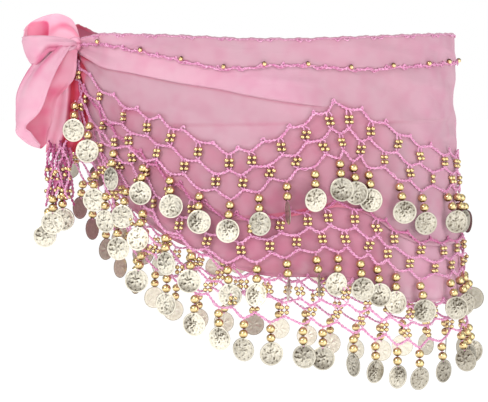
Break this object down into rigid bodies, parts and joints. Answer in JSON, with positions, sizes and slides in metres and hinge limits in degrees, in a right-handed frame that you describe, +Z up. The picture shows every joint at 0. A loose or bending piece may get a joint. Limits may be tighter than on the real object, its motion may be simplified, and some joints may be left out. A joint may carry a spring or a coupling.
{
  "type": "belly dance hip scarf",
  "caption": "Chiffon hip scarf tied in a bow at one hip, with three crocheted bead nets and a row of coins hanging from each.",
  "frame": {"origin": "middle of the hip ring at the height of the top edge, where the wearer's hips hold it", "axes": "+Z up, -Y the wearer's front, -X the wearer's right hip, where the bow is"},
  "size_m": [0.3783, 0.2427, 0.3096],
  "materials": {
    "chiffon": "soft sheer weave",
    "net_yarn": "twisted crochet yarn with gold beads",
    "coin_metal": "stamped pale gold, polished"
  },
  "bodies": {
    "root": {"under_layer_front": "chiffon", "under_layer_side": "chiffon", "under_layer_back": "chiffon", "over_layer_front": "chiffon", "over_layer_side": "chiffon", "over_layer_back": "chiffon", "turned_band_front": "chiffon", "turned_band_side": "chiffon", "turned_band_back": "chiffon", "top_edging_front": "net_yarn", "top_edging_side": "net_yarn", "top_edging_back": "net_yarn", "beaded_edging_front": "net_yarn", "beaded_edging_side": "net_yarn", "beaded_edging_back": "net_yarn", "net_1_front": "net_yarn", "net_1_side": "net_yarn", "net_1_back": "net_yarn", "net_2_front": "net_yarn", "net_2_side": "net_yarn", "net_2_back": "net_yarn", "net_3_front": "net_yarn", "net_3_side": "net_yarn", "net_3_back": "net_yarn", "coins_1_front": "coin_metal", "coins_1_side": "coin_metal", "coins_1_back": "coin_metal", "coins_2_front": "coin_metal", "coins_2_side": "coin_metal", "coins_2_back": "coin_metal", "coins_3_front": "coin_metal", "coins_3_side": "coin_metal", "coins_3_back": "coin_metal", "knot": "chiffon", "upper_loop": "chiffon", "drooping_loop": "chiffon", "tail": "chiffon", "tail_net": "net_yarn", "tail_coins": "coin_metal"}
  },
  "joints": []
}
